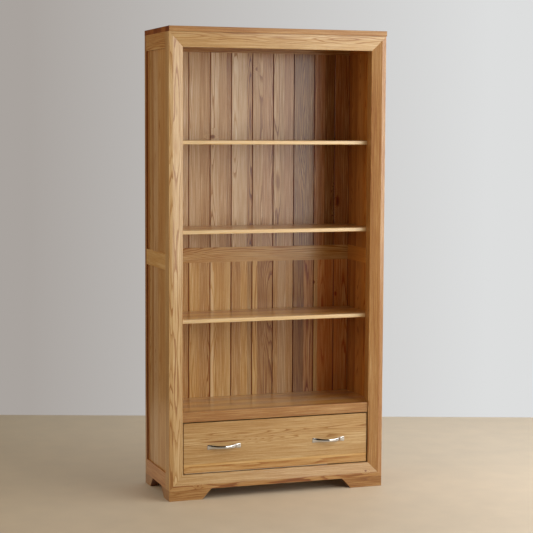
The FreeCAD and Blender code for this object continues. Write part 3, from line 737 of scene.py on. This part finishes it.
class BOOKCASE_OT_build_handles(bpy.types.Operator):
    """Bow handles: a polished strap between two flat ends, waisted seen from the front"""

    bl_idname = "bookcase.build_handles"
    bl_label = "Build Handles"

    def strap(self, low, high, crown):
        """The strap over a CAD handle's box: rows of points round each section, from end to end."""
        centre_x, centre_z = (low.x + high.x) / 2, (low.z + high.z) / 2
        half_length, half_height = (high.x - low.x) / 2, (high.z - low.z) / 2
        reach = high.y - low.y
        # Thickness at the middle and at the tips, half lengths of the bow and of the throat behind
        # it, and half the height at the waist.
        thick, tip, bow, throat, waist = 0.005, 0.003, 0.050, 0.044, 0.0055
        # The ends' corners seen from the front, the rounding of all edges, and the soft line where
        # the bow meets its flat ends.
        corner, edge, soft = 0.004, 0.0011, 0.0012
        rise, pinch = reach - thick, half_height - waist
        outer_radius = (bow ** 2 + rise ** 2) / (2 * rise)
        inner_radius = (throat ** 2 + rise ** 2) / (2 * rise)
        waist_radius = (half_length ** 2 + pinch ** 2) / (2 * pinch)
        # Rows of points, which crowd together towards the ends by this share.
        count, crowding = 150, 0.35
        made = bmesh.new()
        rows = []
        for step in range(count + 1):
            share = 2 * step / count - 1
            along = half_length * (crowding * math.sin(share * math.pi / 2) + (1 - crowding) * share)
            away = abs(along)
            pad = thick - (away - bow) * (thick - tip) / (half_length - bow)
            arc = reach - outer_radius + math.sqrt(max(outer_radius ** 2 - away ** 2, 0))
            out = (pad + arc) / 2 + math.hypot((pad - arc) / 2, soft) - soft * min(1, away / bow)
            inside = max(0, rise - inner_radius + math.sqrt(max(inner_radius ** 2 - away ** 2, 0)))
            half = waist + waist_radius - math.sqrt(waist_radius ** 2 - away ** 2)
            past = max(0, away - (half_length - corner)) / corner
            half -= corner * (1 - math.sqrt(max(0, 1 - past ** 2)))
            past = max(0, away - (half_length - 2 * edge)) / (2 * edge)
            out -= edge * (1 - math.sqrt(max(0, 1 - past ** 2)))
            stock = out - inside
            points = self.section(half, inside, out, min(edge, stock * 0.35), min(crown, stock * 0.3))
            rows.append([
                made.verts.new((centre_x + along, high.y - depth, centre_z + side)) for side, depth in points
            ])
        for before, after in zip(rows, rows[1:]):
            for place in range(len(before)):
                following = (place + 1) % len(before)
                made.faces.new([before[place], before[following], after[following], after[place]])
        made.faces.new(rows[0])
        made.faces.new(rows[-1])
        return made

    def section(self, half, inside, out, edge, crown):
        """A rounded rectangle from its inner to its outer face, the outer one crowned."""
        points = []
        flat = half - edge
        for side, depth, start in ((1, 1, 0), (-1, 1, 90), (-1, -1, 180), (1, -1, 270)):
            # Six points, 18 degrees apart, round each corner.
            middle = out - edge if depth > 0 else inside + edge
            for step in range(6):
                turn = math.radians(start + 18 * step)
                points.append((side * flat + edge * math.cos(turn), middle + edge * math.sin(turn)))
            if depth > 0 and side > 0:
                points += [(flat * share, out) for share in (0.75, 0.5, 0.25, 0, -0.25, -0.5, -0.75)]
        middle = (inside + out) / 2
        return [
            (across, depth - crown * (across / half) ** 2 if depth > middle else depth)
            for across, depth in points
        ]

    def execute(self, context):
        look = context.scene.bookcase_metal
        # Chrome over polished zinc casting: mirror-like, with the soft swells of hand polishing.
        chrome = metal("zinc_cast_polished_chrome", look.chrome, roughness=0.06, scratch_mm=0.6)
        for node in both("handle"):
            strap = self.strap(*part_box(node), look.handle_crown)
            piece = piece_from("bow_" + node, strap, chrome, "drawer", smooth_degrees=60)
            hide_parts(node)
        return {"FINISHED"}


class BOOKCASE_OT_build_pins(bpy.types.Operator):
    """Collared shelf pins pressed into the sides"""

    bl_idname = "bookcase.build_pins"
    bl_label = "Build Shelf Pins"

    def execute(self, context):
        look = context.scene.bookcase_metal
        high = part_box("shelf_pins")[1]
        inner = min(abs(vertex.co.x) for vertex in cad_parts["shelf_pins"].data.vertices)
        length = high.x - inner
        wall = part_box("side_board_upper_1_right")[0].x - inner
        # A rounded nose, a collar 1.5 mm thick that just clears the wood, and a shank in it.
        collar, collar_start, collar_end = look.pin_collar, wall - 0.0016, wall - 0.0001
        profile = [
            (0, 0), (0.0012, 0.00012), (0.0019, 0.0005), (0.0023, 0.0011), (PIN_RADIUS, 0.002),
            (PIN_RADIUS, collar_start), (collar - 0.0003, collar_start), (collar, collar_start + 0.0003),
            (collar, collar_end), (PIN_RADIUS, collar_end), (PIN_RADIUS, length), (0, length),
        ]
        # Steel, turned and nickel-plated: bright and warm, softer than the handles' chrome.
        nickel = metal("steel_turned_nickel_plated", look.nickel, roughness=0.22, scratch_mm=0.8)
        pin = bmesh.new()
        lathe(pin, profile, 28)
        mesh = bpy.data.meshes.new("pin_blank")
        pin.to_mesh(mesh)
        pin.free()
        pins = bmesh.new()
        for side in (-1, 1):
            places = []
            for level in ("lower", "middle", "upper"):
                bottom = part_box("shelf_" + level)[0].z
                places += [Vector((side * inner, row, bottom - PIN_RADIUS)) for row in PIN_ROWS]
            place_copies(pins, mesh, places, (side, 0, 0))
        bpy.data.meshes.remove(mesh)
        piece = piece_from("collared_shelf_pins", pins, nickel, "carcass", smooth_degrees=35)
        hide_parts("shelf_pins")
        return {"FINISHED"}


class BOOKCASE_OT_build_screws(bpy.types.Operator):
    """Pan-head screws of the handles and countersunk screws of the runners and cleats"""

    bl_idname = "bookcase.build_screws"
    bl_label = "Build Screws"

    def execute(self, context):
        look = context.scene.bookcase_metal
        # Steel, rolled and zinc-plated: satin grey with a faint yellow cast.
        zinc = metal("steel_rolled_zinc_plated", look.zinc, roughness=0.3, scratch_mm=0.5)
        low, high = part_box("handle_screws")
        length = high.y - low.y
        shank, head = 0.002, 0.004
        neck = length - 0.0025
        pan = screw_mesh([
            (0, 0), (shank, 0), (shank, neck), (head, neck), (head, neck + 0.0011),
            (0.0036, neck + 0.0018), (0.0028, neck + 0.0023), (0.0014, length), (0, length),
        ], recess_radius=head, recess_depth=0.0013)
        screws = bmesh.new()
        left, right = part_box("handle_left"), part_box("handle_right")
        places = [
            Vector(((box[0].x + box[1].x) / 2 + offset, low.y, (box[0].z + box[1].z) / 2))
            for box in (left, right) for offset in HANDLE_SCREWS
        ]
        place_copies(screws, pan, places, (0, 1, 0))
        piece = piece_from("pan_head_screws", screws, zinc, "drawer", smooth_degrees=30)
        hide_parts("handle_screws")

        # The countersunk heads lie flush: only a shallow cap stands over the wood.
        shank, head, cap = 0.0018, look.screw_head, 0.00025
        sunk = screw_mesh([
            (0, -0.006), (shank, -0.006), (shank, -0.0026), (head, -0.0002), (head, 0),
            (head - 0.0003, cap), (0, cap),
        ], recess_radius=head, recess_depth=0.0015)
        screws = bmesh.new()
        runner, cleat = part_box("drawer_runner_right"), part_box("deck_cleat_right")
        for side in (-1, 1):
            # The runners' screws sit 2 mm over the middle.
            places = [
                Vector((side * box[0].x, row, (box[0].z + box[1].z) / 2 + raised))
                for box, raised in ((runner, 0.002), (cleat, 0)) for row in SCREW_ROWS
            ]
            place_copies(screws, sunk, places, (-side, 0, 0))
        piece_from("countersunk_screws", screws, zinc, "carcass", smooth_degrees=30)
        for mesh in (pan, sunk):
            bpy.data.meshes.remove(mesh)
        return {"FINISHED"}


class BOOKCASE_OT_stage(bpy.types.Operator):
    """Pale floor, plain wall colour, soft lamps and the camera"""

    bl_idname = "bookcase.stage"
    bl_label = "Set Stage"

    def place_camera(self, scene):
        """The camera stands left of the middle, at the height of the upper shelf."""
        ahead = Vector((math.sin(YAW) * math.cos(PITCH), math.cos(YAW) * math.cos(PITCH), -math.sin(PITCH)))
        up = TO_RIGHT.cross(ahead)
        right = math.cos(ROLL) * TO_RIGHT + math.sin(ROLL) * up
        up = math.cos(ROLL) * up - math.sin(ROLL) * TO_RIGHT
        camera = bpy.data.objects.new("camera", bpy.data.cameras.new("camera"))
        camera.data.sensor_width = 36
        camera.data.lens = LENS_MM
        camera.data.clip_end = 100
        turned = Matrix((right, up, -ahead)).transposed().to_4x4()
        camera.matrix_world = Matrix.Translation(CAMERA_PLACE) @ turned
        scene.collection.objects.link(camera)
        scene.camera = camera

    def lay_floor(self, scene, look):
        """The floor ends at the foot of the wall."""
        foot = Vector((CAMERA_PLACE.x, CAMERA_PLACE.y, 0)) + TO_WALL * WALL_AWAY
        left, right = foot - TO_RIGHT * FLOOR_HALF_WIDTH, foot + TO_RIGHT * FLOOR_HALF_WIDTH
        near = TO_WALL * FLOOR_DEPTH
        mesh = bpy.data.meshes.new("floor")
        mesh.from_pydata([left, right, right - near, left - near], [], [(3, 2, 1, 0)])
        floor = bpy.data.objects.new("floor", mesh)
        scene.collection.objects.link(floor)
        # Honed pale stone: matt, with a faint mottling a hand wide. Like the wall it has painted shade on the
        # left, where less light falls, and painted light towards the wall.
        material, tree = new_material("stone_honed_floor")
        place = add(tree, "TexCoord").outputs["Object"]
        mottle = add(tree, "TexNoise", {0: place, "Scale": 9, "Detail": 5})
        across = add(tree, "VectorMath", {0: place, 1: TO_RIGHT}, operation="DOT_PRODUCT").outputs["Value"]
        lit = add(tree, "MapRange", {0: across, 1: -1.3, 2: 1})
        tint = {0: lit, COLOUR_A: opaque(look.floor_shade), COLOUR_B: opaque(look.floor)}
        tint = add(tree, "Mix", tint, data_type="RGBA").outputs[MIXED]
        away = add(tree, "VectorMath", {0: place, 1: TO_WALL}, operation="DOT_PRODUCT").outputs["Value"]
        painted_light_to_wall = add(tree, "MapRange", {0: away, 1: -0.6, 2: 1, 3: 0.94, 4: 1.12})
        shade = add(tree, "MapRange", {0: mottle, 1: 0.3, 2: 0.7, 3: 0.965, 4: 1.035})
        shade = add(tree, "Math", {0: shade, 1: painted_light_to_wall}, operation="MULTIPLY")
        tint = add(tree, "VectorMath", {0: tint, "Scale": shade}, operation="SCALE")
        gloss = add(tree, "MapRange", {0: mottle, 1: 0.3, 2: 0.7, 3: 0.6, 4: 0.7})
        shader = add(tree, "BsdfPrincipled", {"Base Color": tint, "Roughness": gloss})
        add(tree, "OutputMaterial", {0: shader})
        mesh.materials.append(material)

    def fill_room(self, scene, look):
        """Plain wall colour for what is seen directly or mirrored, and even light for the rest."""
        world = bpy.data.worlds.new("studio")
        scene.world = world
        world.use_nodes = True
        tree = world.node_tree
        tree.nodes.clear()
        rays = add(tree, "LightPath").outputs
        seen = add(tree, "Math", {0: rays["Is Camera Ray"], 1: rays["Is Glossy Ray"]}, operation="MAXIMUM")
        seen = add(tree, "Math", {0: seen, 1: rays["Is Transmission Ray"]}, operation="MAXIMUM")
        towards = add(tree, "TexCoord").outputs["Generated"]
        across = add(tree, "VectorMath", {0: towards, 1: TO_RIGHT}, operation="DOT_PRODUCT").outputs["Value"]
        lit = add(tree, "MapRange", {0: across, 1: -0.15, 2: 0.14})
        shade = {0: lit, COLOUR_A: opaque(look.wall_shade), COLOUR_B: opaque(look.wall)}
        shade = add(tree, "Mix", shade, data_type="RGBA").outputs[MIXED]
        # Metal and lacquer mirror the same wall, and a dim room on the left and opposite the wall.
        facing = add(tree, "VectorMath", {0: towards, 1: TO_WALL}, operation="DOT_PRODUCT").outputs["Value"]
        dim = add(tree, "MapRange", {0: facing, 1: -0.3, 2: 0.6, 3: 0.04, 4: 1})
        left = add(tree, "MapRange", {0: across, 1: -0.5, 2: 0, 3: 0.03, 4: 1})
        dim = add(tree, "Math", {0: dim, 1: left}, operation="MULTIPLY")
        dim = add(tree, "Math", {0: dim, 1: rays["Is Camera Ray"]}, operation="MAXIMUM")
        wall = add(tree, "Background", {0: shade, 1: dim})
        # Even light comes back from the wall more than from the dim room.
        even = {0: facing, 1: -1, 2: 1, 3: 0.5 * look.ambient, 4: 1.5 * look.ambient}
        even = add(tree, "MapRange", even)
        even = add(tree, "Background", {0: opaque(linear("#fdfaf5")), 1: even})
        add(tree, "OutputWorld", {0: add(tree, "MixShader", {0: seen, 1: even, 2: wall})})

    def lamp(self, name, azimuth, elevation, distance, size, power, colour):
        """A soft lamp that looks at the bookcase. Azimuth counts from the front to the right."""
        light = bpy.data.lights.new(name, "AREA")
        light.shape = "RECTANGLE"
        light.size, light.size_y = size
        light.energy = power
        light.color = linear(colour)
        made = bpy.data.objects.new(name, light)
        turn, rise = math.radians(azimuth), math.radians(elevation)
        away = Vector((math.sin(turn) * math.cos(rise), -math.cos(turn) * math.cos(rise), math.sin(rise)))
        made.location = Vector((0, 0, LAMP_TARGET)) + away * distance
        made.rotation_euler = away.to_track_quat("Z", "Y").to_euler()
        bpy.context.scene.collection.objects.link(made)

    def execute(self, context):
        scene, look = context.scene, context.scene.bookcase_stage
        scene.view_settings.view_transform = "Standard"
        self.place_camera(scene)
        self.lay_floor(scene, look)
        self.fill_room(scene, look)
        self.lamp("key_lamp", 37, 15.5, 3.5, (2.6, 2.9), look.key_power, "#fff8ee")
        self.lamp("fill_lamp", -74, 18, 3.5, (2.0, 2.2), look.fill_power, "#ffddb6")
        self.lamp("side_lamp", 74, 16, 3.0, (1.8, 2.0), look.side_power, "#fffaf4")
        return {"FINISHED"}


class BOOKCASE_PT_pieces(bpy.types.Panel):
    """Lists the bookcase's operators and settings"""

    bl_idname = "BOOKCASE_PT_pieces"
    bl_label = "Bookcase"
    bl_space_type = "VIEW_3D"
    bl_region_type = "UI"
    bl_category = "Bookcase"

    def draw(self, context):
        for kind in OPERATORS:
            self.layout.operator(kind.bl_idname)
        for name in GROUPS:
            group = getattr(context.scene, name)
            box = self.layout.box()
            for setting in group.__annotations__:
                box.prop(group, setting)


GROUPS = {"bookcase_oak": OakFinish, "bookcase_metal": MetalFinish, "bookcase_stage": StageSettings}
OPERATORS = [
    BOOKCASE_OT_stage,
    BOOKCASE_OT_finish_frame,
    BOOKCASE_OT_finish_panels,
    BOOKCASE_OT_finish_shelves,
    BOOKCASE_OT_finish_drawer,
    BOOKCASE_OT_build_handles,
    BOOKCASE_OT_build_pins,
    BOOKCASE_OT_build_screws,
]


def register():
    for name, group in GROUPS.items():
        bpy.utils.register_class(group)
        setattr(bpy.types.Scene, name, bpy.props.PointerProperty(type=group))
    for kind in OPERATORS + [BOOKCASE_PT_pieces]:
        bpy.utils.register_class(kind)


def unregister():
    for kind in reversed(OPERATORS + [BOOKCASE_PT_pieces]):
        bpy.utils.unregister_class(kind)
    for name, group in GROUPS.items():
        delattr(bpy.types.Scene, name)
        bpy.utils.unregister_class(group)


def main():
    register()
    bpy.ops.bookcase.stage()
    bpy.ops.bookcase.finish_frame()
    bpy.ops.bookcase.finish_panels()
    bpy.ops.bookcase.finish_shelves()
    bpy.ops.bookcase.finish_drawer()
    bpy.ops.bookcase.build_handles()
    bpy.ops.bookcase.build_pins()
    bpy.ops.bookcase.build_screws()


if __name__ == "__main__":
    main()
